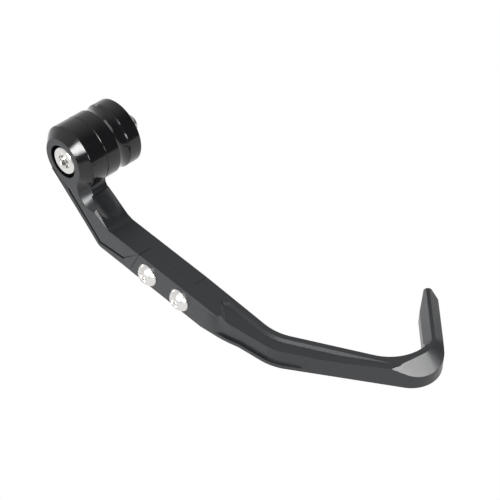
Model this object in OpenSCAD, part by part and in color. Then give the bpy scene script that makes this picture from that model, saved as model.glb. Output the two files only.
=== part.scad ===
// Brake lever guard for a handlebar end: a turned spacer, a machined mounting arm clamped by one long
// socket screw, and a hooked guard bar fastened to the arm's tongue by two button-head screws.
// +Y runs along the handlebar, from its end towards the grip. +X is forward, +Z is up.
// The origin is the centre of the spacer's far face, where it meets the end of the handlebar.

/* [Head] */
// Outside diameter of the arm's round head
head_d = 30; // [26:0.5:36]
// Thickness of the arm along the bar axis
arm_t = 12.5; // [11.5:0.1:16]
// Width and depth of the bevel round the head's outer face
head_bevel = 4.2; // [1.5:0.1:4.6]
// Diameter of the counterbore that hides the socket screw's head
counterbore_d = 15.4; // [14.2:0.1:17]
// How far the socket screw's head lies below the outer face
head_sink = 0.4; // [0.2:0.1:1.8]
// Radial clearance of every screw in a plain bore
bore_gap = 0.25; // [0.1:0.05:0.6]

/* [Spacer] */
// Length of the spacer between the arm and the handlebar
spacer_l = 19.2; // [15:0.1:30]
// Length of the plain band next to the arm
spacer_band = 7; // [4:0.1:8]
// Width of the turned waist
waist_w = 6; // [3:0.1:7]
// Depth of the turned waist
waist_depth = 0.9; // [0.4:0.1:2]
// Small chamfer on the spacer's edges
spacer_edge = 0.4; // [0.2:0.1:0.8]

/* [Socket screw] */
// Thread diameter of the socket screw
bolt_d = 8; // [6:0.5:9]
// Diameter of its head
bolt_head_d = 13; // [12:0.5:13.5]
// Height of its head
bolt_head_h = 8; // [6:0.1:8.5]
// Width across the flats of its hexagon socket
bolt_socket = 6; // [4:0.1:6.6]
// Depth of its hexagon socket
bolt_socket_depth = 4.5; // [3:0.1:5.5]
// How far its threaded end stands out of the spacer
bolt_reach = 8; // [6:0.1:14]
// Chamfer at its threaded end
bolt_end_chamfer = 0.9; // [0.4:0.1:1.2]
// Chamfer round the top of its head
bolt_rim = 0.6; // [0.3:0.1:1]

/* [Neck] */
// Downward angle of the neck's lower edge
neck_angle = 39.4; // [34:0.1:44]
// Distance of the neck's lower edge from the bar axis
neck_low = 10.86; // [9.5:0.1:13]
// Downward angle of the neck's upper face
neck_top_angle = 30; // [27:0.5:33]
// Place of the bend between the neck's upper face and the lap, forward of the bar axis
ridge_x = 29.3; // [28:0.1:32]
// Length of the facet in that bend, to each side
bend_facet = 1.7; // [0.5:0.1:3]
// Radius of the hollow between the head and the neck
neck_fillet_r = 4; // [2:0.1:6]
// Radius on the outside of the neck's bend
bend_r = 5; // [2:0.1:8]
// Width of the fine bevel along the neck where it leaves the head
neck_bevel = 2.2; // [0.8:0.1:2.4]
// Depth of the scooped pocket in the neck's upper face
scoop_depth = 1.4; // [0.6:0.1:2]
// Width of the scooped pocket
scoop_w = 10.8; // [6:0.1:12]
// Distance of the pocket's middle line from the outer face
scoop_middle = 6.9; // [6:0.1:8]
// Flat land between the pocket and the bend's facet
scoop_land = 1.2; // [0.8:0.1:4]

/* [Lap joint] */
// Height of the lap's upper face, below the bar axis
lap_top = -19.45; // [-23:0.05:-18.5]
// Height of the lap joint
lap_h = 13.5; // [12.5:0.1:16]
// Thickness of the guard's front tongue
tongue_t = 6.1; // [4.5:0.1:7.5]
// Place of the front shoulder, forward of the bar axis
lap_x = 48.9; // [44:0.1:51]
// Length of the overlap
lap_l = 28.4; // [27.5:0.1:32]
// Lean of the front shoulder from upright, backwards going down
shoulder_lean = 24; // [0:1:30]
// Lean of the rear shoulder from upright, forwards going down, clear of the second screw
rear_lean = 20; // [12:1:24]
// Gap left at each shoulder
shoulder_gap = 0.12; // [0.05:0.01:0.3]

/* [Guard screws] */
// Thread diameter of the two button-head screws
screw_d = 6; // [4:0.5:6.5]
// Diameter of their heads
screw_head_d = 10.7; // [9.5:0.1:11.5]
// Height of their heads
screw_head_h = 3.6; // [2.8:0.1:4]
// Width across the flats of their hexagon sockets
screw_socket = 4; // [2.5:0.1:4.4]
// Depth of their hexagon sockets
screw_socket_depth = 2; // [1.2:0.1:2.2]
// Length of their shanks
screw_l = 11.5; // [9:0.5:12.5]
// Height taken off the crown of each head
screw_top_flat = 0.25; // [0.1:0.05:0.5]
// Chamfer at their threaded ends
screw_end_chamfer = 0.7; // [0.3:0.1:1]
// Distance between the two screws
screw_pitch = 19.8; // [15:0.1:21]
// Distance of the first screw from the front shoulder
screw_inset = 5.6; // [5:0.1:6]
// Distance of the screws below the middle of the lap
screw_drop = 0.9; // [0:0.1:1.1]

/* [Guard bar] */
// Height of the bar past its lower ramp
blade_h = 9.7; // [8:0.1:12]
// Start of the lower ramp, past the front shoulder
ramp_start = 38.5; // [34:0.5:42]
// Length of the lower ramp
ramp_l = 21.5; // [15:0.5:30]
// Start of the outer face's first turn, past the front shoulder
first_turn = 53; // [48:0.5:58]
// Radius of the first turn
first_turn_r = 60; // [30:5:90]
// Heading of the outer face after the first turn
first_heading = 8.5; // [4:0.5:12]
// Length of the outer face from the first turn to the main bend
first_l = 24.3; // [18:0.1:30]
// Heading of the outer face along the straight run
run_heading = 36.3; // [33:0.1:40]
// Length of the straight run, between the corners of the outer face
run_l = 71.8; // [60:0.5:90]
// Radius of the main bend, on both faces
main_bend_r = 23; // [15:0.5:26]
// Place of the inner face's bend, past the front shoulder
inner_bend = 70.7; // [66:0.1:74]
// Thickness of the bar at the inner face's bend, from the plane of the outer face
inner_bend_t = 11.6; // [10.5:0.1:13.5]
// Heading of the inner face along the straight run
inner_heading = 31; // [29:0.1:33]

/* [Hook and tip] */
// Heading of the tip
tip_heading = 138; // [130:0.1:142]
// Length of the tip, from the sharp corner of the outer face to its end
tip_l = 51; // [46:0.5:65]
// Thickness of the tip
tip_t = 8.1; // [7.5:0.1:10]
// Radius on the outside of the hook
hook_r = 14; // [12:0.5:17]
// Radius on the inside of the hook
hook_inner_r = 21.4; // [19:0.1:24]
// Distance from the sharp inner corner to where the inner round starts
hook_inner_lead = 22.1; // [19:0.1:26]
// Length of the cut on the tip's outer end corner
tip_cut_l = 5.2; // [3:0.1:8]
// Width of the cut on the tip's outer end corner
tip_cut_w = 2.6; // [1:0.1:3]
// Length of the taper on the tip's inner side
tip_taper_l = 10.4; // [8:0.1:18]
// Width of the tip's end face
tip_end_w = 3.2; // [2:0.1:5]
// Width of the flat left on top of the tip
tip_flat_w = 1.5; // [0.8:0.1:2.5]
// Width of the bevel on the tip's inner side
inner_bevel_w = 3.2; // [2:0.1:4.2]
// Depth of the bevel on the tip's inner side
inner_bevel_h = 3.3; // [2:0.1:4.5]
// Radius of the round start of the inner bevel, at its foot
inner_bevel_r = 1.5; // [0.5:0.1:2.5]
// Place of the inner bevel's start, along the tip
inner_bevel_start = 22.5; // [21:0.1:28]
// Slope of the bevel on the outer side of the hook and tip
outer_bevel_slope = 24; // [20:1:35]
// Radius of the flat's edge round the hook
outer_bevel_r = 12.2; // [9:0.1:14]
// Place of the middle of that round, along the tip
outer_bevel_middle = 23.7; // [20:0.1:26]
// Heading of the flat's edge before that round
outer_bevel_heading = 80; // [74:1:88]

/* [Cut-outs] */
// Depth of the long recess in the bar's outer face
recess_depth = 1.1; // [0.5:0.1:1.6]
// Start of the recess, past the front shoulder
recess_start = 41.5; // [40:0.1:46]
// Distance from the top of the recess's start to the bar's upper face
recess_drop = 2.5; // [1:0.1:4]
// Lean of the recess's start from level
recess_lean = 52; // [35:1:70]
// Slope of the recess's top edge, up to the bar's upper face
recess_rise = 20; // [12:1:35]
// Length of the straight run over which the recess dies out
recess_run = 20; // [10:0.5:30]
// Height of the rim left under the recess
recess_rim = 1.9; // [1.2:0.1:3]
// Length of the ramp at the recess's start
recess_ramp = 3.2; // [1.5:0.1:5]
// Width of the raised rim left along the bar's inner edge, beside the lowered top
rim_w = 2.4; // [1.5:0.1:4]
// Depth of the lowered top
step_depth = 1; // [0.4:0.1:1.5]
// Width of the sloping wall between rim and lowered top
step_wall = 1.3; // [0.6:0.1:2]
// Start of the straight rim, past the front shoulder
step_start = 45.5; // [42:0.1:48]
// Length of the rim's slanting start
step_lead = 4; // [2:0.1:6]
// Heading of the lowered top's front end
step_heading = 141; // [120:1:150]
// Place past the main bend where the lowered top starts to rise
rise_start = 22; // [10:0.5:28]
// Length over which it rises to the full height
rise_l = 22; // [10:0.5:30]
// Width of the slot in the arm's outer face
slot_w = 1.2; // [0.6:0.1:2]
// Depth of the slot in the arm's outer face
slot_depth = 0.8; // [0.4:0.1:1.5]
// Distance of the slot from the arm's lower edge
slot_inset = 2.9; // [2:0.1:3.6]
// Start of the slot, along the neck's lower edge
slot_start = 11.3; // [9:0.1:16]
// Length of the slot past the bend
slot_run = 14.7; // [8:0.1:16]
// Rise of the slot past the bend
slot_rise = 1.5; // [0:0.1:3]

/* [Hidden] */
$fn = 96;
// Room for cutting tools, outside every surface
over = 60;
eps = 0.01;
// How far a corner's cut or fill reaches past its edges
corner_margin = 0.5;
// Rounds are set this far off a tangent one, so that they end in clean lines
bite = 0.02;
// How far a straight cut runs on into the round that follows it
run_on = 2;

ANODISED = "#2f3236";
STEEL = "#c9ccd0";

head_r = head_d / 2;
face_y = -(arm_t + spacer_l);
back_y = -spacer_l;
lap_bottom = lap_top - lap_h;
screw_z = (lap_top + lap_bottom) / 2 - screw_drop;
lap_end_x = lap_x + lap_l;
blade_bottom = lap_top - blade_h;
bolt_hole_d = bolt_d + 2 * bore_gap;
screw_hole_d = screw_d + 2 * bore_gap;
// Threads are drawn at their outside diameter, so a threaded hole is only a hair wider than its screw
thread_gap = 0.05;
// How much wider a socket's countersink is than its corners, and the half angle of its drilled end
socket_lead = 0.3;
drill_angle = 59;

// Unit vector with a heading in degrees
function dir(a) = [cos(a), sin(a)];

// Matrix that turns a plane vector by an angle
function rotation(a) = [[cos(a), -sin(a)], [sin(a), cos(a)]];

// Unit vector to the left of a heading
function left(a) = [-sin(a), cos(a)];

// Where the line through p with heading a meets the line through q with heading b
function meet(p, a, q, b) =
    let (d = q - p, k = (d[0] * sin(b) - d[1] * cos(b)) / sin(b - a)) p + k * dir(a);

// What lies between a sharp corner, turned from heading a to heading b, and its round of radius r.
// It reaches a little past the corner's two edges, so that nothing is left along them.
module corner(p, a, b, r) {
    t = r * tan(abs(b - a) / 2);
    side = sign(b - a);
    centre = p - t * dir(a) + side * r * left(a);
    start = p - t * dir(a);
    stop = p + t * dir(b);
    past = p + (p - centre) * corner_margin / r;
    difference() {
        polygon([start, start - side * corner_margin * left(a), past, stop - side * corner_margin * left(b), stop]);
        translate(centre) circle(r = r + bite);
    }
}

// The wedge between two headings, seen from the origin
module sector(a, b, r) {
    polygon([[0, 0], r * dir(a), r * dir((a + b) / 2), r * dir(b)]);
}

// A channel of width w along a list of points, with round ends and corners
module channel(points, w) {
    for (p = points) translate(p) circle(d = w + 2 * bite);
    for (i = [1:len(points) - 1]) {
        d = points[i] - points[i - 1];
        translate(points[i - 1]) rotate(atan2(d[1], d[0])) translate([0, -w / 2]) square([norm(d), w]);
    }
}

// A flat piece drawn in the upright XZ plane, starting at the given depth behind the outer face
module plate(depth, t) {
    translate([0, face_y + depth + t, 0]) rotate([90, 0, 0]) linear_extrude(t) children();
}

// A turned piece or bore along the bar axis, starting at the given depth behind the outer face
module along_bar(depth) {
    translate([0, face_y + depth, 0]) rotate([-90, 0, 0]) children();
}

// Neck outline, in the XZ plane, measured from the bar axis
neck_dir = dir(-neck_angle);
neck_in = left(-neck_angle);
neck_low_point = -neck_low * neck_in;
neck_corner = meet(neck_low_point, -neck_angle, [0, lap_bottom], 0);
ridge = [ridge_x, lap_top];
top_dir = dir(-neck_top_angle);
top_out = left(-neck_top_angle);
top_dist = ridge * top_out;
fillet_reach = neck_fillet_r - bite;
fillet_along = sqrt(pow(head_r + fillet_reach, 2) - pow(top_dist + fillet_reach, 2));
fillet_centre = (top_dist + fillet_reach) * top_out + fillet_along * top_dir;
fillet_head = fillet_centre * head_r / norm(fillet_centre);
fillet_neck = fillet_centre - fillet_reach * top_out;
neck_run = norm(ridge - fillet_neck);

// Everything ahead of a shoulder that leans back by the given angle, with its top edge at the given x
module ahead_of_shoulder(x, lean) {
    polygon([
        [x + over * tan(lean), lap_top + over],
        [x + over * 4, lap_top + over],
        [x + over * 4, lap_bottom - over],
        [x - (lap_h + over) * tan(lean), lap_bottom - over]
    ]);
}

module neck_outline(start) {
    polygon([
        [0, 0],
        neck_low_point,
        neck_corner,
        [lap_end_x + lap_h * tan(rear_lean), lap_bottom],
        [lap_end_x, lap_top],
        ridge + [bend_facet, 0],
        ridge - bend_facet * top_dir,
        fillet_neck,
        start
    ]);
}

module arm_outline() {
    circle(r = head_r);
    difference() {
        neck_outline(fillet_head);
        translate(fillet_centre) circle(r = neck_fillet_r);
        corner(neck_corner, -neck_angle, 0, bend_r);
    }
}

// The bevel round the head's outer face, left off where the neck joins
module head_bevel_cut() {
    difference() {
        along_bar(-1) cylinder(r = head_r + 1, h = head_bevel + 1 + eps);
        along_bar(-eps) cylinder(r1 = head_r - head_bevel - eps, r2 = head_r + eps, h = head_bevel + 2 * eps);
        along_bar(-2) cylinder(r = head_r - head_bevel, h = 2);
        plate(-2, head_bevel + 3) neck_outline(fillet_head);
    }
}

// The head's bevel, carried round the hollow between the head and the neck until it runs out
module fillet_bevel() {
    translate([fillet_centre[0], face_y - eps, fillet_centre[1]]) rotate([-90, 0, 0])
        cylinder(r1 = neck_fillet_r + head_bevel + eps, r2 = neck_fillet_r - eps, h = head_bevel + 2 * eps);
}

// A bevel along the neck's upper outer edge, full at the head and gone at the bend
module neck_bevel_cut() {
    stop = fillet_neck + neck_run * top_dir;
    translate([stop[0], face_y, stop[1]]) rotate([0, neck_top_angle, 0]) rotate([-45, 0, 0])
        rotate([0, 0, -atan(neck_bevel / neck_run / sqrt(2))]) translate([-neck_run, -over, -over / 2])
            cube([neck_run, over, over]);
}

// Ball-ended scoop in the neck's upper face
module scoop() {
    r = (pow(scoop_w / 2, 2) + pow(scoop_depth, 2)) / (2 * scoop_depth);
    stop = ridge - (bend_facet + scoop_land + scoop_w / 2) * top_dir + (r - scoop_depth) * top_out;
    translate([stop[0], face_y + scoop_middle, stop[1]]) rotate([0, neck_top_angle, 0]) {
        rotate([90, 0, 0]) sphere(r = r);
        rotate([0, -90, 0]) cylinder(r = r, h = neck_run - bend_facet - scoop_land - scoop_w / 2);
    }
}

module arm_slot() {
    start = neck_low_point + slot_start * neck_dir + slot_inset * neck_in;
    turn = meet(start, -neck_angle, [0, lap_bottom + slot_inset], 0);
    stop = turn + [slot_run, slot_rise];
    plate(-1, slot_depth + 1) channel([start, turn, stop], slot_w);
}

module mount_arm() {
    color(ANODISED) difference() {
        plate(0, arm_t) arm_outline();
        head_bevel_cut();
        fillet_bevel();
        neck_bevel_cut();
        scoop();
        arm_slot();
        along_bar(-1) cylinder(d = counterbore_d, h = head_sink + bolt_head_h + 1);
        along_bar(-1) cylinder(d = bolt_hole_d, h = arm_t + 2);
        plate(-1, tongue_t + 1) ahead_of_shoulder(lap_x, shoulder_lean);
        for (i = [0, 1]) translate([screw_x(i), 0, screw_z]) along_bar(0)
            cylinder(d = screw_d + 2 * thread_gap, h = arm_t + 1);
    }
}

function screw_x(i) = lap_x + screw_inset + i * screw_pitch;

// Plan of the guard bar, in the XY plane, with Y measured from the outer face
turn_out = [lap_x + first_turn, 0];
bend_out = turn_out + first_l * dir(first_heading);
hook_out = bend_out + run_l * dir(run_heading);
bend_in = [lap_x + inner_bend, inner_bend_t];
lap_back = [lap_end_x, arm_t];
back_heading = atan2(bend_in[1] - lap_back[1], bend_in[0] - lap_back[0]);
hook_in = meet(bend_in, inner_heading, hook_out + tip_t * left(tip_heading), tip_heading);
fill_start = hook_in - hook_inner_lead * dir(inner_heading);
fill_stop = hook_in + hook_inner_lead * dir(tip_heading);
hook_centre = fill_start + hook_inner_r * left(inner_heading);

// A point of the tip: how far along it, and how far in from its outer face
function tip_point(along, inward) = hook_out + along * dir(tip_heading) + inward * left(tip_heading);

module guard_plan() {
    difference() {
        polygon([
            [lap_x - over, 0],
            turn_out,
            bend_out,
            hook_out,
            tip_point(tip_l - tip_cut_l, 0),
            tip_point(tip_l, tip_cut_w),
            tip_point(tip_l, tip_cut_w + tip_end_w),
            tip_point(tip_l - tip_taper_l, tip_t),
            hook_in,
            bend_in,
            lap_back,
            [lap_x - over, arm_t]
        ]);
        corner(turn_out, 0, first_heading, first_turn_r);
        corner(bend_out, first_heading, run_heading, main_bend_r);
        corner(hook_out, run_heading, tip_heading, hook_r);
    }
    corner(bend_in, back_heading, inner_heading, main_bend_r);
    difference() {
        polygon([
            fill_start,
            fill_start - corner_margin * left(inner_heading),
            hook_in - corner_margin * left((inner_heading + tip_heading) / 2),
            fill_stop - corner_margin * left(tip_heading),
            fill_stop
        ]);
        translate(hook_centre) circle(r = hook_inner_r);
    }
}

// The bar's underside, in the XZ plane: level under the lap, then a ramp up to the slimmer bar
module below_bar(lift) {
    polygon([
        [lap_x - over, lap_bottom + lift],
        [lap_x + ramp_start, lap_bottom + lift],
        [lap_x + ramp_start + ramp_l, blade_bottom + lift],
        [lap_x + 4 * over, blade_bottom + lift],
        [lap_x + 4 * over, lap_bottom - over],
        [lap_x - over, lap_bottom - over]
    ]);
}

// A bevel's cutting tool, in a frame whose x runs along the edge and y points into the bar
module bevel_tool(l, slope, side) {
    rotate([90, 0, 90]) linear_extrude(l)
        polygon([[0, 0], [0, over / 2], [side * over / 2, over / 2], [side * over / 2, -over / 2 * tan(slope)]]);
}

// The wide bevel on the outer side: a plane before the hook, a cone round it and a plane along the tip
module outer_bevel() {
    edge = tip_t - inner_bevel_w - tip_flat_w;
    centre = tip_point(outer_bevel_middle, edge + outer_bevel_r);
    depth = over / 2;
    translate([0, face_y, lap_top]) {
        translate(tip_point(outer_bevel_middle - run_on, edge + bite)) rotate(tip_heading)
            bevel_tool(over, outer_bevel_slope, -1);
        translate([centre[0], centre[1], -depth]) intersection() {
            difference() {
                cylinder(r = 2 * over, h = depth + 1);
                translate([0, 0, -1]) cylinder(
                    r1 = outer_bevel_r + (depth + 1) / tan(outer_bevel_slope),
                    r2 = outer_bevel_r - 2 / tan(outer_bevel_slope), h = depth + 3);
            }
            linear_extrude(depth + 1) sector(outer_bevel_heading - 90, tip_heading - 90, over * 3);
        }
        translate(centre + (outer_bevel_r - bite) * dir(outer_bevel_heading - 90)) rotate(outer_bevel_heading)
            translate([run_on - over, 0, 0]) bevel_tool(over, outer_bevel_slope, -1);
    }
}

// The bevel on the tip's inner side, with the round start that its cutter leaves
module inner_bevel() {
    slope = atan(inner_bevel_h / inner_bevel_w);
    foot = tip_t + inner_bevel_r;
    translate([0, face_y, lap_top]) {
        translate(tip_point(inner_bevel_start, tip_t - inner_bevel_w)) rotate(tip_heading)
            bevel_tool(over, slope, 1);
        translate(tip_point(inner_bevel_start, foot)) translate([0, 0, -inner_bevel_h])
            cylinder(r1 = inner_bevel_r, r2 = inner_bevel_r + inner_bevel_w, h = inner_bevel_h);
    }
}

// Plan of what the recess takes off the outer face
module recess_plan() {
    turn_at = turn_out + recess_depth * left(first_heading / 2) / cos(first_heading / 2);
    half = (run_heading - first_heading) / 2;
    bend_at = bend_out + recess_depth * left(first_heading + half) / cos(half);
    stop = bend_out + (recess_run + main_bend_r * tan(half)) * dir(run_heading);
    last = atan2(stop[1] - bend_at[1], stop[0] - bend_at[0]);
    polygon([[lap_x, recess_depth], turn_at, bend_at, stop, stop - over * left(run_heading), [lap_x, -over]]);
    corner(turn_at, 0, first_heading, first_turn_r);
    corner(bend_at, first_heading, last, main_bend_r);
}

module recess() {
    start = [lap_x + recess_start, lap_top - recess_drop];
    foot = lap_top - lap_bottom;
    rise = recess_drop * [1 / tan(recess_rise), 1];
    intersection() {
        translate([0, face_y, lap_bottom - 1]) linear_extrude(lap_h + 2) recess_plan();
        translate([start[0], face_y, start[1]]) rotate([0, recess_lean - 90, 0])
            rotate([0, 0, atan(recess_depth / recess_ramp)]) translate([0, -over, -over])
                cube([over * 3, over, over * 2]);
        difference() {
            plate(-over, 2 * over) polygon([
                start - [foot, 0],
                start,
                start + rise,
                start + rise + [0, over],
                start + [over * 3, over],
                start + [over * 3, -over],
                start - [foot, over]
            ]);
            plate(-over - 1, 2 * over + 2) below_bar(recess_rim);
        }
    }
}

// Everything to the right of a wall that starts at p on the bar's top and slopes down as the step does
module right_of_wall(p, heading, l) {
    translate(p) rotate([0, 0, heading]) rotate([90, 0, 90]) linear_extrude(l) step_section(-1);
}

// Section of that space, drawn deeper than the step
module step_section(side) {
    polygon([[0, 0], [0, 2], [side * over, 2], [side * over, -2], [side * step_wall * 2 / step_depth, -2]]);
}

// What is taken off the bar's top to leave a raised rim along its inner edge
module top_step() {
    arc_r = main_bend_r + rim_w;
    centre = bend_in - main_bend_r * tan((inner_heading - back_heading) / 2) * dir(back_heading)
        + main_bend_r * left(back_heading);
    arc_start = centre - arc_r * left(back_heading);
    arc_stop = centre - arc_r * left(inner_heading);
    rim_start = meet(arc_start, back_heading, [lap_x + step_start, 0], 90);
    front = rim_start - step_lead * dir(45);
    translate([0, face_y, lap_top]) intersection() {
        union() {
            intersection() {
                right_of_wall(rim_start - run_on * dir(back_heading), back_heading, norm(arc_start - rim_start) + 2 * run_on);
                right_of_wall(front - over * dir(45), 45, 2 * over);
                right_of_wall(front - over * dir(step_heading), step_heading, 2 * over);
            }
            translate(centre) intersection() {
                rotate_extrude() translate([arc_r + bite, 0]) step_section(1);
                translate([0, 0, -2]) linear_extrude(4) sector(back_heading - 90, inner_heading - 90, 3 * over);
            }
            right_of_wall(arc_stop - run_on * dir(inner_heading), inner_heading, over);
        }
        translate([arc_stop[0], arc_stop[1], 0]) rotate([0, 0, inner_heading]) rotate([90, 0, 0])
            translate([0, 0, -over]) linear_extrude(2 * over) polygon([
                [-2 * over, 1],
                [-2 * over, -step_depth],
                [rise_start, -step_depth],
                [rise_start + 2 * rise_l, step_depth],
                [rise_start + 2 * rise_l, 1]
            ]);
    }
}

module guard_hook() {
    color(ANODISED) difference() {
        translate([0, face_y, lap_bottom]) linear_extrude(lap_h) guard_plan();
        plate(-1, arm_t + over) difference() {
            translate([lap_x - 2 * over, lap_bottom - over]) square([3 * over, 3 * over]);
            ahead_of_shoulder(lap_x + shoulder_gap, shoulder_lean);
        }
        plate(tongue_t, arm_t + over) difference() {
            translate([lap_x - 2 * over, lap_bottom - over]) square([3 * over, 3 * over]);
            ahead_of_shoulder(lap_end_x + shoulder_gap, -rear_lean);
        }
        plate(-1, arm_t + 2 * over) below_bar(0);
        outer_bevel();
        inner_bevel();
        recess();
        top_step();
        for (i = [0, 1]) translate([screw_x(i), 0, screw_z]) along_bar(-1)
            cylinder(d = screw_hole_d, h = tongue_t + 2);
    }
}

// Turned along the bar axis: a plain band, a shallow waist and a plain end band, bored for the screw
module bar_end_spacer() {
    waist_r = (pow(waist_w / 2, 2) + pow(waist_depth, 2)) / (2 * waist_depth);
    waist_at = spacer_band + waist_w / 2;
    color(ANODISED) along_bar(arm_t) difference() {
        union() {
            cylinder(r1 = head_r - spacer_edge, r2 = head_r, h = spacer_edge);
            translate([0, 0, spacer_edge]) cylinder(r = head_r, h = spacer_l - 2 * spacer_edge);
            translate([0, 0, spacer_l - spacer_edge])
                cylinder(r1 = head_r, r2 = head_r - spacer_edge, h = spacer_edge);
        }
        translate([0, 0, waist_at]) rotate_extrude() translate([head_r - waist_depth + waist_r, 0])
            circle(r = waist_r);
        translate([0, 0, -1]) cylinder(d = bolt_hole_d, h = spacer_l + 2);
    }
}

// Socket screw along the bar axis, its head sunk in the arm and its end clear of the spacer
module main_bolt() {
    shank = arm_t + spacer_l - head_sink - bolt_head_h + bolt_reach;
    color(STEEL) along_bar(head_sink) difference() {
        union() {
            cylinder(d1 = bolt_head_d - 2 * bolt_rim, d2 = bolt_head_d, h = bolt_rim);
            translate([0, 0, bolt_rim]) cylinder(d = bolt_head_d, h = bolt_head_h - bolt_rim);
            cylinder(d = bolt_d, h = bolt_head_h + shank - bolt_end_chamfer);
            translate([0, 0, bolt_head_h + shank - bolt_end_chamfer])
                cylinder(d1 = bolt_d, d2 = bolt_d - 2 * bolt_end_chamfer, h = bolt_end_chamfer);
        }
        socket(bolt_socket, bolt_socket_depth);
    }
}

// A hexagon socket from z = 0 upwards, with a small countersink at its mouth and a drilled end
module socket(af, depth) {
    across = af / cos(30);
    mouth = across + socket_lead;
    translate([0, 0, -1]) cylinder(d = across, h = depth + 1, $fn = 6);
    translate([0, 0, -eps]) cylinder(d1 = mouth, d2 = af, h = (mouth - af) / 2);
    translate([0, 0, depth - eps]) cylinder(d1 = af, d2 = 0, h = af / 2 / tan(drill_angle));
}

// Two button-head screws, each a ball cap with a small flat on top, side by side through the lap
module guard_screws() {
    ball_r = (pow(screw_head_d / 2, 2) + pow(screw_head_h, 2)) / (2 * screw_head_h);
    shank_end = screw_head_h + screw_l;
    color(STEEL) for (i = [0, 1]) translate([screw_x(i), 0, screw_z]) along_bar(-screw_head_h)
        difference() {
            union() {
                intersection() {
                    translate([0, 0, ball_r]) sphere(r = ball_r);
                    translate([0, 0, screw_top_flat]) cylinder(d = screw_head_d, h = screw_head_h - screw_top_flat);
                }
                translate([0, 0, screw_head_h - eps]) cylinder(d = screw_d, h = screw_l - screw_end_chamfer + eps);
                translate([0, 0, shank_end - screw_end_chamfer])
                    cylinder(d1 = screw_d, d2 = screw_d - 2 * screw_end_chamfer, h = screw_end_chamfer);
            }
            translate([0, 0, screw_top_flat]) socket(screw_socket, screw_socket_depth);
        }
}

mount_arm();
guard_hook();
bar_end_spacer();
main_bolt();
guard_screws();
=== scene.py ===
"""Looks of the brake lever guard: machined edges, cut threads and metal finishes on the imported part."""

import logging
import math
from dataclasses import dataclass
from enum import Enum

import bpy
from mathutils import Matrix, Vector


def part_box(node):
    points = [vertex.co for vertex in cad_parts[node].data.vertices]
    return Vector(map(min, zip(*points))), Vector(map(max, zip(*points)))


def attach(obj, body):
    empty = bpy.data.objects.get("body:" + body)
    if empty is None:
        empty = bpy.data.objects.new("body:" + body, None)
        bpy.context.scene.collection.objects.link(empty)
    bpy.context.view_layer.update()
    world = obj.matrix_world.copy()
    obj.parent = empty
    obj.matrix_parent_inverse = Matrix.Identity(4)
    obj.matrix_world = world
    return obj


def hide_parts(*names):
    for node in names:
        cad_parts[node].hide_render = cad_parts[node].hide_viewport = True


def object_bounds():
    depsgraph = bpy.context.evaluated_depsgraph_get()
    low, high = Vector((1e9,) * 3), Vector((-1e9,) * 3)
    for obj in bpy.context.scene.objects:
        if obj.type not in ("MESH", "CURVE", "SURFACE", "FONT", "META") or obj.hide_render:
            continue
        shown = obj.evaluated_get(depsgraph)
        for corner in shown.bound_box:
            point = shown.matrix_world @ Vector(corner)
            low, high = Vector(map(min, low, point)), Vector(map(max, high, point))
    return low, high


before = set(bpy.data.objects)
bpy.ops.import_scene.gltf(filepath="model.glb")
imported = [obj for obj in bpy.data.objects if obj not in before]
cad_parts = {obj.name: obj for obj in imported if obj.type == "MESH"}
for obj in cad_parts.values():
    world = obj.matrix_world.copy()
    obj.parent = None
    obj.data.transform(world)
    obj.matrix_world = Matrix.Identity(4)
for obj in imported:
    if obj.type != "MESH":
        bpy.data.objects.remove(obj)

CAD_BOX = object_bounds()
MM = 0.001
BODY = "root"
PART_MIDDLE = (0.07, -0.01, -0.01)
FULL_TURN = 2 * math.pi

Colour = tuple[float, float, float, float]
Place = tuple[float, float, float]

log = logging.getLogger("brake_lever_guard")


class Surface(Enum):
    """How a surface is left by its cutter before the finish goes on."""

    MILLED = "milled"
    TURNED = "turned"


class MixKind(Enum):
    """What a Mix node mixes: its data type, the numbers of its two inputs and that of its output."""

    COLOUR = ("RGBA", 6, 7, 2)
    NUMBER = ("FLOAT", 2, 3, 0)


# Shader node groups shared by the finishes


def new_group(
    name: str, inputs: dict[str, tuple[str, float | None]], outputs: dict[str, str]
) -> bpy.types.NodeTree:
    """Makes an empty shader node group with named sockets.

    Args:
        name: The group's name.
        inputs: Socket name to its kind (Float, Vector or Color) and its default, None where it has none.
        outputs: Socket name to its kind.

    Returns:
        The group, with its input and output nodes in place.
    """
    tree = bpy.data.node_groups.new(name, "ShaderNodeTree")
    for label, (kind, default) in inputs.items():
        socket = tree.interface.new_socket(label, in_out="INPUT", socket_type=f"NodeSocket{kind}")
        if default is not None:
            socket.default_value = default
    for label, kind in outputs.items():
        tree.interface.new_socket(label, in_out="OUTPUT", socket_type=f"NodeSocket{kind}")
    tree.nodes.new("NodeGroupInput").name = "in"
    tree.nodes.new("NodeGroupOutput").name = "out"
    return tree


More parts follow.
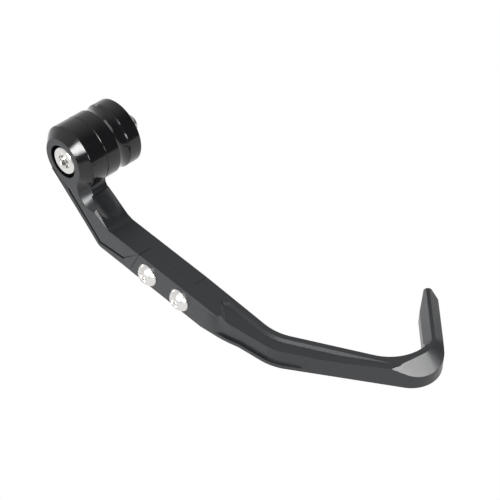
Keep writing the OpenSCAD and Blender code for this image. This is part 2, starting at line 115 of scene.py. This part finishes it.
@dataclass
class Wiring:
    """Adds nodes to a node tree and links them, so that a material reads as a list of steps."""

    tree: bpy.types.NodeTree

    def node(self, kind: str, **settings: object) -> bpy.types.Node:
        """Adds a node.

        Args:
            kind: The node's type.
            settings: Its plain properties.

        Returns:
            The node.
        """
        made = self.tree.nodes.new(kind)
        for name, value in settings.items():
            setattr(made, name, value)
        return made

    def put(self, value: object, socket: bpy.types.NodeSocket) -> None:
        """Fills a socket.

        Args:
            value: Another socket, which is linked, or a plain value, which is written.
            socket: The socket to fill.
        """
        if isinstance(value, bpy.types.NodeSocket):
            self.tree.links.new(value, socket)
        else:
            socket.default_value = value

    def math(
        self, operation: str, first: object, second: object = 0.0, clamp: bool = False
    ) -> bpy.types.NodeSocket:
        """Adds a Math node.

        Args:
            operation: What it does.
            first: Its first socket or number.
            second: Its second one.
            clamp: Whether its result is held between 0 and 1.

        Returns:
            Its result.
        """
        made = self.node("ShaderNodeMath", operation=operation, use_clamp=clamp)
        self.put(first, made.inputs[0])
        self.put(second, made.inputs[1])
        return made.outputs[0]

    def ramp(
        self, value: object, low: float, high: float, start: float = 0.0, stop: float = 1.0
    ) -> bpy.types.NodeSocket:
        """Maps one range onto another, smoothly and clamped.

        Args:
            value: The socket to map.
            low: Its value at the start.
            high: Its value at the stop.
            start: The result at low.
            stop: The result at high.

        Returns:
            The result.
        """
        made = self.node("ShaderNodeMapRange", interpolation_type="SMOOTHSTEP")
        self.put(value, made.inputs["Value"])
        for label, number in (("From Min", low), ("From Max", high), ("To Min", start), ("To Max", stop)):
            self.put(number, made.inputs[label])
        return made.outputs["Result"]

    def noise(
        self, vector: object, scale: float, detail: float = 3.0, roughness: float = 0.55
    ) -> bpy.types.NodeSocket:
        """Adds a Noise Texture.

        Args:
            vector: Where it is read.
            scale: How many of its waves fit in a metre.
            detail: How many finer layers it has.
            roughness: How strong the finer layers are.

        Returns:
            Its value, from 0 to 1.
        """
        made = self.node("ShaderNodeTexNoise")
        self.put(vector, made.inputs["Vector"])
        made.inputs["Scale"].default_value = scale
        made.inputs["Detail"].default_value = detail
        made.inputs["Roughness"].default_value = roughness
        return made.outputs["Fac"]

    def mix(self, kind: MixKind, share: object, first: object, second: object) -> bpy.types.NodeSocket:
        """Mixes two colours or two numbers.

        Args:
            kind: Which of the two.
            share: The second one's share, from 0 to 1.
            first: The first one.
            second: The second one.

        Returns:
            The mixture.
        """
        data_type, first_in, second_in, result = kind.value
        made = self.node("ShaderNodeMix", data_type=data_type)
        self.put(share, made.inputs[0])
        self.put(first, made.inputs[first_in])
        self.put(second, made.inputs[second_in])
        return made.outputs[result]

    def bump(self, height: object) -> bpy.types.NodeSocket:
        """Adds a Bump node.

        Args:
            height: The surface's height in metres.

        Returns:
            The normal of the bumped surface.
        """
        made = self.node("ShaderNodeBump")
        made.inputs["Strength"].default_value = 1.0
        made.inputs["Distance"].default_value = 1.0
        self.put(height, made.inputs["Height"])
        return made.outputs[0]


def turned_rings_group() -> bpy.types.NodeTree:
    """Builds the fine rings that a lathe leaves round an axis along Y, on faces and round surfaces alike.

    Returns:
        A group with inputs Vector, Pitch and Waver, and outputs Height and Radius.
    """
    waver_scale = 900.0
    tree = new_group(
        "turned_rings",
        {"Vector": ("Vector", None), "Pitch": ("Float", 0.2 * MM), "Waver": ("Float", 0.5)},
        {"Height": "Float", "Radius": "Float"},
    )
    wire = Wiring(tree)
    given = tree.nodes["in"].outputs
    split = wire.node("ShaderNodeSeparateXYZ")
    wire.put(given["Vector"], split.inputs[0])
    squares = [wire.math("POWER", split.outputs[name], 2.0) for name in ("X", "Z")]
    radius = wire.math("SQRT", wire.math("ADD", squares[0], squares[1]))
    travel = wire.math("ADD", radius, split.outputs["Y"])
    turns = wire.math("DIVIDE", travel, given["Pitch"])
    waver = wire.math("MULTIPLY", wire.noise(given["Vector"], waver_scale), given["Waver"])
    wave = wire.math("SINE", wire.math("MULTIPLY", wire.math("ADD", turns, waver), FULL_TURN))
    wire.put(wave, tree.nodes["out"].inputs["Height"])
    wire.put(radius, tree.nodes["out"].inputs["Radius"])
    return tree


def milled_grain_group() -> bpy.types.NodeTree:
    """Builds the fine etched grain of a milled and anodised face.

    Returns:
        A group with inputs Vector, Grain and Streak, and output Height.
    """
    speck_scale = 5200.0
    streak_scale = 4200.0
    along_the_cut = (0.06, 0.06, 1.0)
    tree = new_group(
        "milled_grain",
        {"Vector": ("Vector", None), "Grain": ("Float", 0.7), "Streak": ("Float", 0.3)},
        {"Height": "Float"},
    )
    wire = Wiring(tree)
    given = tree.nodes["in"].outputs
    speck = wire.noise(given["Vector"], speck_scale, detail=2.0, roughness=0.6)
    stretched = wire.node("ShaderNodeVectorMath", operation="MULTIPLY")
    wire.put(given["Vector"], stretched.inputs[0])
    stretched.inputs[1].default_value = along_the_cut
    streak = wire.noise(stretched.outputs[0], streak_scale, detail=2.0, roughness=0.5)
    both = wire.math(
        "ADD", wire.math("MULTIPLY", speck, given["Grain"]), wire.math("MULTIPLY", streak, given["Streak"])
    )
    wire.put(both, tree.nodes["out"].inputs["Height"])
    return tree


def handling_group() -> bpy.types.NodeTree:
    """Builds the broad, soft cloudiness that handling leaves in a sheen.

    Returns:
        A group with inputs Vector and Amount, and output Shade, which swings round 0.
    """
    cloud_scale = 85.0
    cloud_middle = 0.5
    tree = new_group(
        "handling", {"Vector": ("Vector", None), "Amount": ("Float", 0.05)}, {"Shade": "Float"}
    )
    wire = Wiring(tree)
    given = tree.nodes["in"].outputs
    cloud = wire.noise(given["Vector"], cloud_scale, detail=4.0, roughness=0.6)
    swing = wire.math("MULTIPLY", wire.math("SUBTRACT", cloud, cloud_middle), given["Amount"])
    wire.put(swing, tree.nodes["out"].inputs["Shade"])
    return tree


@dataclass(frozen=True)
class Effects:
    """The node groups that every finish draws on."""

    rings: bpy.types.NodeTree
    grain: bpy.types.NodeTree
    handling: bpy.types.NodeTree

    @classmethod
    def build(cls) -> "Effects":
        """Builds each group once."""
        return cls(turned_rings_group(), milled_grain_group(), handling_group())


def use_group(wire: Wiring, group: bpy.types.NodeTree, **values: object) -> bpy.types.Node:
    """Places a node group in a material.

    Args:
        wire: The material's wiring.
        group: The group to place.
        values: Its inputs by name, as sockets or plain values.

    Returns:
        The group node.
    """
    made = wire.node("ShaderNodeGroup", node_tree=group)
    for label, value in values.items():
        wire.put(value, made.inputs[label])
    return made


def new_material(name: str) -> tuple[bpy.types.Material, Wiring, bpy.types.Node, bpy.types.NodeSocket]:
    """Starts a node material.

    Args:
        name: The material's name.

    Returns:
        The material, its wiring, its Principled BSDF node and the object's own coordinates.
    """
    material = bpy.data.materials.new(name)
    material.use_nodes = True
    wire = Wiring(material.node_tree)
    shader = material.node_tree.nodes["Principled BSDF"]
    place = wire.node("ShaderNodeTexCoord").outputs["Object"]
    return material, wire, shader, place


@dataclass(frozen=True)
class Anodised:
    """Black anodised aluminium: satin where it was milled and etched, glossy where it was turned."""

    name: str
    effects: Effects
    surface: Surface
    satin_dye: Colour = (0.011, 0.012, 0.014, 1.0)
    gloss_dye: Colour = (0.0035, 0.0036, 0.0045, 1.0)
    satin_roughness: float = 0.32
    gloss_roughness: float = 0.13
    grain: float = 0.75
    streak: float = 0.35
    grain_depth: float = 0.004 * MM
    ring_depth: float = 0.0012 * MM
    ring_pitch: float = 0.22 * MM
    ring_waver: float = 0.35
    cloud: float = 0.10
    dye_swing: float = 2.0
    gloss_radius: float = 15.12 * MM
    gloss_radius_fade: float = 0.5 * MM
    gloss_from_y: float = -31.6 * MM
    gloss_y_fade: float = 0.2 * MM

    def gloss(self, wire: Wiring, place: object, radius: object) -> object:
        """Finds where the metal was turned.

        Args:
            wire: The material's wiring.
            place: The object's own coordinates.
            radius: The distance from the turning axis.

        Returns:
            The share of gloss, from 0 to 1.
        """
        if self.surface is Surface.MILLED:
            return 0.0
        split = wire.node("ShaderNodeSeparateXYZ")
        wire.put(place, split.inputs[0])
        inside = wire.ramp(radius, self.gloss_radius, self.gloss_radius + self.gloss_radius_fade, 1.0, 0.0)
        behind = wire.ramp(split.outputs["Y"], self.gloss_from_y, self.gloss_from_y + self.gloss_y_fade)
        return wire.math("MULTIPLY", inside, behind)

    def material(self) -> bpy.types.Material:
        """Builds the material.

        Returns:
            The material.
        """
        material, wire, shader, place = new_material(self.name)
        rings = use_group(
            wire, self.effects.rings, Vector=place, Pitch=self.ring_pitch, Waver=self.ring_waver
        )
        grain = use_group(wire, self.effects.grain, Vector=place, Grain=self.grain, Streak=self.streak)
        cloud = use_group(wire, self.effects.handling, Vector=place, Amount=self.cloud).outputs["Shade"]
        gloss = self.gloss(wire, place, rings.outputs["Radius"])
        dye = wire.mix(MixKind.COLOUR, gloss, self.satin_dye, self.gloss_dye)
        shade = wire.math("ADD", wire.math("MULTIPLY", cloud, self.dye_swing), 1.0)
        tinted = wire.node("ShaderNodeVectorMath", operation="SCALE")
        wire.put(dye, tinted.inputs[0])
        wire.put(shade, tinted.inputs["Scale"])
        wire.put(tinted.outputs[0], shader.inputs["Base Color"])
        sheen = wire.mix(MixKind.NUMBER, gloss, self.satin_roughness, self.gloss_roughness)
        wire.put(wire.math("ADD", sheen, cloud), shader.inputs["Roughness"])
        milled = wire.math("MULTIPLY", grain.outputs["Height"], self.grain_depth)
        turned = wire.math("MULTIPLY", rings.outputs["Height"], self.ring_depth)
        wire.put(wire.bump(wire.mix(MixKind.NUMBER, gloss, milled, turned)), shader.inputs["Normal"])
        return material


@dataclass(frozen=True)
class BrightSteel:
    """Bright steel of a screw, turned and polished."""

    name: str
    effects: Effects
    colour: Colour = (0.80, 0.79, 0.77, 1.0)
    shade: Colour = (0.62, 0.61, 0.60, 1.0)
    shade_share: float = 0.35
    shade_swing: float = 4.0
    roughness: float = 0.22
    cloud: float = 0.12
    ring_depth: float = 0.0015 * MM
    ring_pitch: float = 0.16 * MM
    ring_waver: float = 0.6

    def material(self) -> bpy.types.Material:
        """Builds the material.

        Returns:
            The material.
        """
        material, wire, shader, place = new_material(self.name)
        rings = use_group(
            wire, self.effects.rings, Vector=place, Pitch=self.ring_pitch, Waver=self.ring_waver
        )
        cloud = use_group(wire, self.effects.handling, Vector=place, Amount=self.cloud).outputs["Shade"]
        share = wire.math("ADD", wire.math("MULTIPLY", cloud, self.shade_swing), self.shade_share, clamp=True)
        wire.put(wire.mix(MixKind.COLOUR, share, self.colour, self.shade), shader.inputs["Base Color"])
        wire.put(wire.math("ADD", cloud, self.roughness), shader.inputs["Roughness"])
        shader.inputs["Metallic"].default_value = 1.0
        turned = wire.math("MULTIPLY", rings.outputs["Height"], self.ring_depth)
        wire.put(wire.bump(turned), shader.inputs["Normal"])
        return material


# Modelling steps shared by the pieces


def select_only(piece: bpy.types.Object) -> None:
    """Makes a piece the only selected one and the active one.

    Args:
        piece: The piece.
    """
    bpy.ops.object.select_all(action="DESELECT")
    piece.select_set(True)
    bpy.context.view_layer.objects.active = piece


def apply_modifier(piece: bpy.types.Object, kind: str, **settings: object) -> None:
    """Adds a modifier to a piece, sets it up and applies it.

    Args:
        piece: The piece to change.
        kind: The modifier's type.
        settings: Its properties.
    """
    select_only(piece)
    modifier = piece.modifiers.new(kind.lower(), kind)
    for name, value in settings.items():
        setattr(modifier, name, value)
    bpy.ops.object.modifier_apply(modifier=modifier.name)


def machined_copy(node: str, name: str, weld: float) -> bpy.types.Object:
    """Copies a node's solid as a merged mesh, ready for its edges to be broken.

    Args:
        node: The node to copy.
        name: The new piece's name.
        weld: Corners nearer than this are merged.

    Returns:
        The new piece.
    """
    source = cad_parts[node]
    piece = bpy.data.objects.new(name, source.data.copy())
    bpy.context.scene.collection.objects.link(piece)
    select_only(piece)
    bpy.ops.mesh.customdata_custom_splitnormals_clear()
    bpy.ops.object.mode_set(mode="EDIT")
    bpy.ops.mesh.select_all(action="SELECT")
    bpy.ops.mesh.remove_doubles(threshold=weld)
    bpy.ops.object.mode_set(mode="OBJECT")
    return piece


@dataclass(frozen=True)
class EdgeBreak:
    """The small round that deburring leaves along sharp edges, and the shading beside it."""

    width: float
    sharper_than: float
    steps: int = 2
    smooth_below: float = math.radians(32.0)
    face_weight: int = 60

    def put_on(self, piece: bpy.types.Object) -> None:
        """Rounds every edge that turns by more than the set angle, and smooths the shading.

        Args:
            piece: The piece to finish.
        """
        apply_modifier(
            piece, "BEVEL", width=self.width, segments=self.steps, limit_method="ANGLE",
            angle_limit=self.sharper_than, use_clamp_overlap=False, harden_normals=False,
            miter_outer="MITER_ARC",
        )
        select_only(piece)
        bpy.ops.object.shade_smooth_by_angle(angle=self.smooth_below)
        apply_modifier(piece, "WEIGHTED_NORMAL", mode="FACE_AREA", weight=self.face_weight, keep_sharp=True)


@dataclass(frozen=True)
class Thread:
    """A cut screw thread round an axis parallel to Y, as a spiral groove with 60 degree flanks.

    The shares are parts of the pitch: the groove's depth, the cutter's clearance outside the shank, and half
    of the cutter's width there.
    """

    diameter: float
    pitch: float
    centre: Vector
    start_y: float
    stop_y: float
    steps: int = 40
    depth_share: float = 0.6134
    clear_share: float = 0.15
    half_width_share: float = 0.45

    def cutter(self) -> bpy.types.Object:
        """Builds the groove's cutter as one closed spiral.

        Returns:
            The cutter.
        """
        triangle_height = 1.5
        triangle_half_base = math.cos(math.radians(30.0))
        depth = self.depth_share * self.pitch
        reach = depth + self.clear_share * self.pitch
        half_width = self.half_width_share * self.pitch
        middle = self.diameter / 2 - depth + reach / triangle_height
        bpy.ops.object.select_all(action="DESELECT")
        bpy.ops.mesh.primitive_circle_add(
            vertices=3, radius=1.0, fill_type="NOTHING", rotation=(0.0, 0.0, FULL_TURN / 4)
        )
        cutter = bpy.context.active_object
        bpy.ops.object.transform_apply(location=True, rotation=True, scale=True)
        bpy.ops.object.mode_set(mode="EDIT")
        bpy.ops.mesh.select_all(action="SELECT")
        bpy.ops.transform.resize(
            value=(reach / triangle_height, half_width / triangle_half_base, 1.0),
            center_override=(0.0, 0.0, 0.0),
        )
        bpy.ops.transform.translate(value=(middle, self.start_y, 0.0))
        bpy.ops.object.mode_set(mode="OBJECT")
        turns = math.ceil((self.stop_y - self.start_y) / self.pitch) + 1
        apply_modifier(
            cutter, "SCREW", axis="Y", angle=FULL_TURN, screw_offset=self.pitch, iterations=turns,
            steps=self.steps, render_steps=self.steps, use_merge_vertices=False,
        )
        bpy.ops.object.mode_set(mode="EDIT")
        bpy.ops.mesh.select_all(action="SELECT")
        bpy.ops.mesh.fill_holes(sides=3)
        bpy.ops.mesh.select_all(action="SELECT")
        bpy.ops.mesh.normals_make_consistent(inside=False)
        bpy.ops.transform.translate(value=(self.centre.x, 0.0, self.centre.z))
        bpy.ops.object.mode_set(mode="OBJECT")
        return cutter

    def cut(self, piece: bpy.types.Object) -> None:
        """Cuts the thread into a piece.

        Args:
            piece: The piece to cut.
        """
        cutter = self.cutter()
        apply_modifier(piece, "BOOLEAN", operation="DIFFERENCE", solver="EXACT", object=cutter)
        bpy.data.objects.remove(cutter)


def finish_piece(
    piece: bpy.types.Object, node: str, material: bpy.types.Material
) -> bpy.types.Object:
    """Dresses a piece, makes it stand for its node and lets it ride with the part.

    Args:
        piece: The finished mesh.
        node: The node that it replaces.
        material: Its finish.

    Returns:
        The piece.
    """
    piece.data.materials.clear()
    piece.data.materials.append(material)
    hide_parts(node)
    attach(piece, BODY)
    return piece


@dataclass
class GuardBars:
    """The two milled bars: the mounting arm and the hooked guard bar."""

    arm_edge_break: float = 0.22 * MM
    hook_edge_break: float = 0.11 * MM
    weld: float = 0.006 * MM
    sharp: float = math.radians(19.0)

    def build(self, effects: Effects) -> list[bpy.types.Object]:
        """Builds and dresses both bars.

        Args:
            effects: The shared node groups.

        Returns:
            The two bars.
        """
        bars = (
            ("mount_arm", "black_anodised_arm", self.arm_edge_break, Surface.TURNED),
            ("guard_hook", "black_anodised_hook", self.hook_edge_break, Surface.MILLED),
        )
        made = []
        for node, slot, width, surface in bars:
            piece = machined_copy(node, f"{node}_machined", self.weld)
            EdgeBreak(width, self.sharp).put_on(piece)
            finish = Anodised(f"anodised_{surface.value}", effects, surface)
            made.append(finish_piece(piece, node, finish.material()))
        return made


@dataclass
class Spacer:
    """The turned spacer between the arm's head and the handlebar, glossy all over."""

    edge_break: float = 0.12 * MM
    weld: float = 0.004 * MM
    sharp: float = math.radians(25.0)
    gloss_radius: float = 20.0 * MM

    def build(self, effects: Effects) -> bpy.types.Object:
        """Builds and dresses the spacer.

        Args:
            effects: The shared node groups.

        Returns:
            The spacer.
        """
        piece = machined_copy("bar_end_spacer", "bar_end_spacer_turned", self.weld)
        EdgeBreak(self.edge_break, self.sharp).put_on(piece)
        finish = Anodised("anodised_spacer", effects, Surface.TURNED, gloss_radius=self.gloss_radius)
        return finish_piece(piece, "bar_end_spacer", finish.material())


@dataclass
class Screws:
    """The long socket screw and the two button-head screws, with their cut threads."""

    edge_break: float = 0.12 * MM
    weld: float = 0.004 * MM
    sharp: float = math.radians(25.0)
    bolt_diameter: float = 8.0 * MM
    bolt_pitch: float = 1.25 * MM
    bolt_thread_start: float = -3.0 * MM
    guard_diameter: float = 6.0 * MM
    guard_pitch: float = 1.0 * MM
    guard_thread_start: float = -24.5 * MM

    def blank(self, node: str) -> bpy.types.Object:
        """Copies a node's screws and breaks their edges, ready for the threads.

        Args:
            node: The node to copy.

        Returns:
            The unthreaded screws as one piece.
        """
        piece = machined_copy(node, f"{node}_threaded", self.weld)
        EdgeBreak(self.edge_break, self.sharp).put_on(piece)
        return piece

    def build_bolt(self, effects: Effects) -> bpy.types.Object:
        """Builds and dresses the socket screw.

        Args:
            effects: The shared node groups.

        Returns:
            The socket screw.
        """
        end_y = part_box("main_bolt")[1].y
        piece = self.blank("main_bolt")
        Thread(self.bolt_diameter, self.bolt_pitch, Vector(), self.bolt_thread_start, end_y).cut(piece)
        finish = BrightSteel("bolt_steel", effects)
        return finish_piece(piece, "main_bolt", finish.material())

    def build_guard_screws(self, effects: Effects) -> bpy.types.Object:
        """Builds and dresses the pair of button-head screws.

        Args:
            effects: The shared node groups.

        Returns:
            The pair as one piece.
        """
        low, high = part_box("guard_screws")
        piece = self.blank("guard_screws")
        head_radius = (high.z - low.z) / 2
        middle = (high.z + low.z) / 2
        for x in (low.x + head_radius, high.x - head_radius):
            centre = Vector((x, 0.0, middle))
            Thread(self.guard_diameter, self.guard_pitch, centre, self.guard_thread_start, high.y).cut(piece)
        finish = BrightSteel("screw_steel", effects, roughness=0.30, cloud=0.06, ring_depth=0.0)
        return finish_piece(piece, "guard_screws", finish.material())


@dataclass(frozen=True)
class Viewpoint:
    """The photograph's camera, fitted to the edges and circles of the part."""

    azimuth: float = 44.200
    elevation: float = 44.034
    roll: float = 3.117
    place: Place = (0.55597, -0.48645, 0.64391)
    focal_length: float = 162.685
    sensor_width: float = 36.0

    def build(self) -> bpy.types.Object:
        """Adds the camera and makes it the scene's own.

        Returns:
            The camera.
        """
        data = bpy.data.cameras.new("viewpoint")
        data.sensor_fit = "HORIZONTAL"
        data.sensor_width = self.sensor_width
        data.lens = self.focal_length
        camera = bpy.data.objects.new("viewpoint", data)
        bpy.context.scene.collection.objects.link(camera)
        turn = Matrix.Rotation(math.radians(self.azimuth), 4, "Z")
        tilt = Matrix.Rotation(math.radians(90.0 - self.elevation), 4, "X")
        roll = Matrix.Rotation(math.radians(self.roll), 4, "Z")
        camera.matrix_world = Matrix.Translation(self.place) @ turn @ tilt @ roll
        bpy.context.scene.camera = camera
        return camera


@dataclass(frozen=True)
class SoftBox:
    """A rectangular studio lamp, placed by its direction and distance from what it looks at."""

    name: str
    direction: Place
    distance: float
    width: float
    height: float
    power: float
    target: Place = PART_MIDDLE
    spread: float = 180.0

    def build(self) -> bpy.types.Object:
        """Adds the lamp, turned to its target.

        Returns:
            The lamp.
        """
        data = bpy.data.lights.new(self.name, "AREA")
        data.shape = "RECTANGLE"
        data.size = self.width
        data.size_y = self.height
        data.energy = self.power
        data.spread = math.radians(self.spread)
        lamp = bpy.data.objects.new(self.name, data)
        bpy.context.scene.collection.objects.link(lamp)
        heading = Vector(self.direction).normalized()
        lamp.location = Vector(self.target) + heading * self.distance
        lamp.rotation_euler = heading.to_track_quat("Z", "Y").to_euler()
        return lamp


@dataclass
class Studio:
    """White floor and surroundings, with soft lamps placed where the photograph's highlights show them."""

    floor_drop: float = 0.12
    floor_size: float = 6.0
    floor_colour: Colour = (0.9, 0.9, 0.9, 1.0)
    floor_roughness: float = 0.9
    dark_level: float = 0.15
    bright_level: float = 0.85
    bright_side: Place = (-0.93, -0.20, 0.30)
    bright_from: float = -0.2
    lamps: tuple[SoftBox, ...] = (
        SoftBox("front_softbox", (0.14, -0.87, 0.47), 0.9, 0.45, 0.24, 8.0),
        SoftBox("hook_softbox", (0.27, 0.42, 0.86), 0.30, 0.09, 0.09, 0.035, (0.165, -0.025, -0.02), 40.0),
        SoftBox("side_softbox", (0.79, -0.53, 0.31), 0.80, 0.20, 0.20, 2.2),
        SoftBox("overhead_softbox", (0.14, -0.52, 0.84), 1.1, 0.50, 0.22, 2.0),
        SoftBox("left_card", (-0.995, -0.05, 0.08), 0.9, 0.25, 0.18, 0.5),
        SoftBox("back_card", (-0.16, 0.93, 0.33), 0.9, 0.45, 0.30, 0.8),
    )

    def floor_material(self) -> bpy.types.Material:
        """Builds the floor's white, which the camera and mirror-like surfaces see as plain white.

        Returns:
            The material.
        """
        material = bpy.data.materials.new("studio_white")
        material.use_nodes = True
        wire = Wiring(material.node_tree)
        shader = material.node_tree.nodes["Principled BSDF"]
        shader.inputs["Base Color"].default_value = self.floor_colour
        shader.inputs["Roughness"].default_value = self.floor_roughness
        white = wire.node("ShaderNodeEmission")
        paths = wire.node("ShaderNodeLightPath").outputs
        mirrored = wire.math("MAXIMUM", paths["Is Glossy Ray"], paths["Is Transmission Ray"])
        seen = wire.math("MAXIMUM", paths["Is Camera Ray"], mirrored)
        both = wire.node("ShaderNodeMixShader")
        for given, socket in zip((seen, shader.outputs[0], white.outputs[0]), both.inputs):
            wire.put(given, socket)
        wire.put(both.outputs[0], material.node_tree.nodes["Material Output"].inputs[0])
        return material

    def build_floor(self) -> bpy.types.Object:
        """Adds the floor under the part.

        Returns:
            The floor.
        """
        low = CAD_BOX[0].z - self.floor_drop
        bpy.ops.object.select_all(action="DESELECT")
        bpy.ops.mesh.primitive_plane_add(size=self.floor_size, location=(PART_MIDDLE[0], PART_MIDDLE[1], low))
        floor = bpy.context.active_object
        floor.name = "studio_floor"
        bpy.ops.object.transform_apply(location=True, rotation=True, scale=True)
        floor.data.materials.append(self.floor_material())
        return floor

    def build_world(self) -> bpy.types.World:
        """Adds the surroundings: white to the camera, and a room lit from one side to everything else.

        Returns:
            The world.
        """
        world = bpy.data.worlds.new("studio")
        bpy.context.scene.world = world
        world.use_nodes = True
        wire = Wiring(world.node_tree)
        toward = wire.node("ShaderNodeVectorMath", operation="DOT_PRODUCT")
        wire.put(wire.node("ShaderNodeTexCoord").outputs["Generated"], toward.inputs[0])
        toward.inputs[1].default_value = Vector(self.bright_side).normalized()
        room = wire.ramp(toward.outputs["Value"], self.bright_from, 1.0, self.dark_level, self.bright_level)
        paths = wire.node("ShaderNodeLightPath")
        backdrop = world.node_tree.nodes["Background"]
        backdrop.inputs["Color"].default_value = (1.0, 1.0, 1.0, 1.0)
        level = wire.mix(MixKind.NUMBER, paths.outputs["Is Camera Ray"], room, 1.0)
        wire.put(level, backdrop.inputs["Strength"])
        return world

    def build(self) -> None:
        """Adds floor, surroundings and lamps, and plain colour handling."""
        self.build_floor()
        self.build_world()
        for lamp in self.lamps:
            lamp.build()
        bpy.context.scene.view_settings.view_transform = "Standard"


def main() -> None:
    """Builds and reports the pieces in order, then builds the studio and the camera."""
    logging.basicConfig(level=logging.INFO, format="%(name)s %(message)s")
    effects = Effects.build()
    screws = Screws()
    pieces = [
        *GuardBars().build(effects),
        Spacer().build(effects),
        screws.build_bolt(effects),
        screws.build_guard_screws(effects),
    ]
    for piece in pieces:
        log.info("%s: %d faces", piece.name, len(piece.data.polygons))
    Studio().build()
    Viewpoint().build()


if __name__ == "__main__":
    main()
